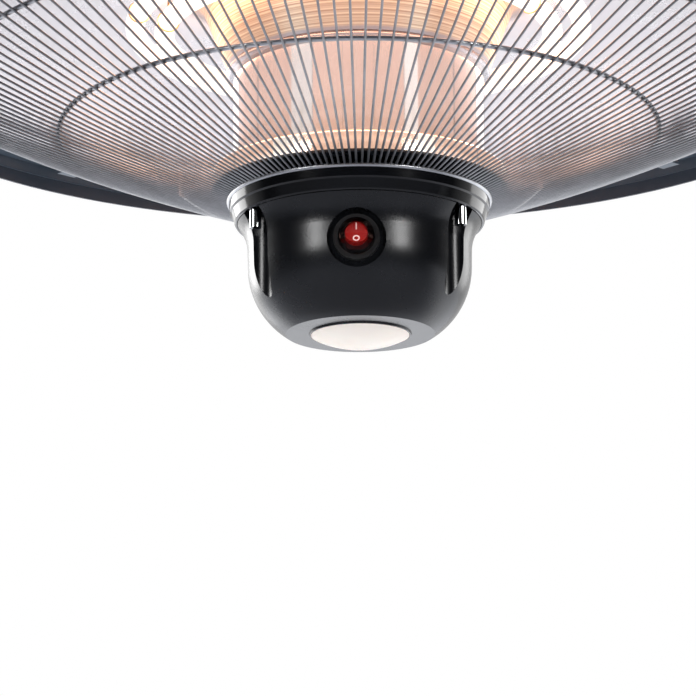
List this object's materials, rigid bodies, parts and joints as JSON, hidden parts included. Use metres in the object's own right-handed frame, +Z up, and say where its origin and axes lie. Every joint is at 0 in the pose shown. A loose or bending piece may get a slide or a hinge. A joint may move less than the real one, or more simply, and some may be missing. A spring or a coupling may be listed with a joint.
{
  "type": "hanging halogen patio heater",
  "caption": "Ceiling-hung patio heater: round dark shade, wire guard, ring lamps round a polished column, and a bowl with a rocker switch and a downlight.",
  "frame": {"origin": "centre of the hanging hole in the top of the bail, halfway through its thickness", "axes": "+Z up along the common axis of shade, column and bowl; +X to the right along the bail's pivot; -Y to the front, where the rocker switch is"},
  "size_m": [0.53, 0.53, 0.3242],
  "materials": {
    "black_moulding": "gloss",
    "black_plastic": "satin",
    "lens_plastic": "frosted",
    "circuit_board": "satin",
    "warm_emitter": "satin",
    "zinc_steel": "zinc plated",
    "polished_steel": "polished",
    "relay_plastic": "satin",
    "brass_terminal": "plain",
    "clear_rubber": "clear gloss",
    "red_rocker": "gloss",
    "white_mark": "printed",
    "black_steel": "satin",
    "polished_column": "polished",
    "plain_aluminium": "plain",
    "black_rubber": "matt",
    "shade_enamel": "satin",
    "reflector_aluminium": "bright",
    "guard_chrome": "plated",
    "quartz_glass": "clear",
    "glowing_filament": "glowing",
    "support_brass": "plain",
    "white_ceramic": "plain",
    "lead_sleeve": "woven glass sleeve"
  },
  "bodies": {
    "bail": {"hanging_bail": "zinc_steel"},
    "heater": {"bail_bolts": "zinc_steel", "bail_nuts": "zinc_steel", "bail_washers": "zinc_steel", "base_plate": "black_steel", "board_screws": "zinc_steel", "bowl": "black_moulding", "bowl_nuts": "zinc_steel", "bowl_screws": "polished_steel", "cap_screws": "zinc_steel", "collar": "black_moulding", "column": "polished_column", "column_base": "polished_column", "column_bead": "polished_column", "control_board": "circuit_board", "filaments": "glowing_filament", "gland_body": "black_plastic", "gland_locknut": "black_plastic", "gland_nut": "black_plastic", "gland_seal": "black_rubber", "guard_clips": "zinc_steel", "guard_inner_ring": "guard_chrome", "guard_middle_ring": "guard_chrome", "guard_outer_ring": "guard_chrome", "guard_upper_ring": "guard_chrome", "guard_wires": "guard_chrome", "hanger_plate": "zinc_steel", "heat_shield": "plain_aluminium", "lamp_bracket": "zinc_steel", "lamp_end_caps": "white_ceramic", "lamp_supports": "support_brass", "lamp_tube_inner": "quartz_glass", "lamp_tube_outer": "quartz_glass", "lead_grommet": "black_rubber", "leads": "lead_sleeve", "led_board": "circuit_board", "led_emitters": "warm_emitter", "lens": "lens_plastic", "lens_ring": "black_moulding", "lower_spacer": "plain_aluminium", "middle_spacer": "plain_aluminium", "reflector": "reflector_aluminium", "relays": "relay_plastic", "rim_ring": "black_steel", "rim_screws": "zinc_steel", "shade": "shade_enamel", "spine_nuts": "zinc_steel", "spine_tube": "zinc_steel", "switch_boot": "clear_rubber", "switch_boot_ring": "black_moulding", "switch_housing": "black_moulding", "switch_terminals": "brass_terminal", "terminal_block": "white_ceramic", "terminal_screws": "brass_terminal", "thermal_cutout": "relay_plastic", "top_cap": "shade_enamel", "upper_spacers": "plain_aluminium"},
    "rocker": {"rocker_marks": "white_mark", "switch_rocker": "red_rocker"}
  },
  "joints": [
    {"name": "bail_pivot", "type": "hinge", "parent": "bail", "child": "heater", "pos_m": [0, 0, -0.05375], "axis": [1, 0, 0], "range_deg": [-75, 75]},
    {"name": "switch_rock", "type": "hinge", "parent": "heater", "child": "rocker", "pos_m": [0, -0.0495, -0.28105], "axis": [1, 0, 0], "range_deg": [0, 20]}
  ]
}
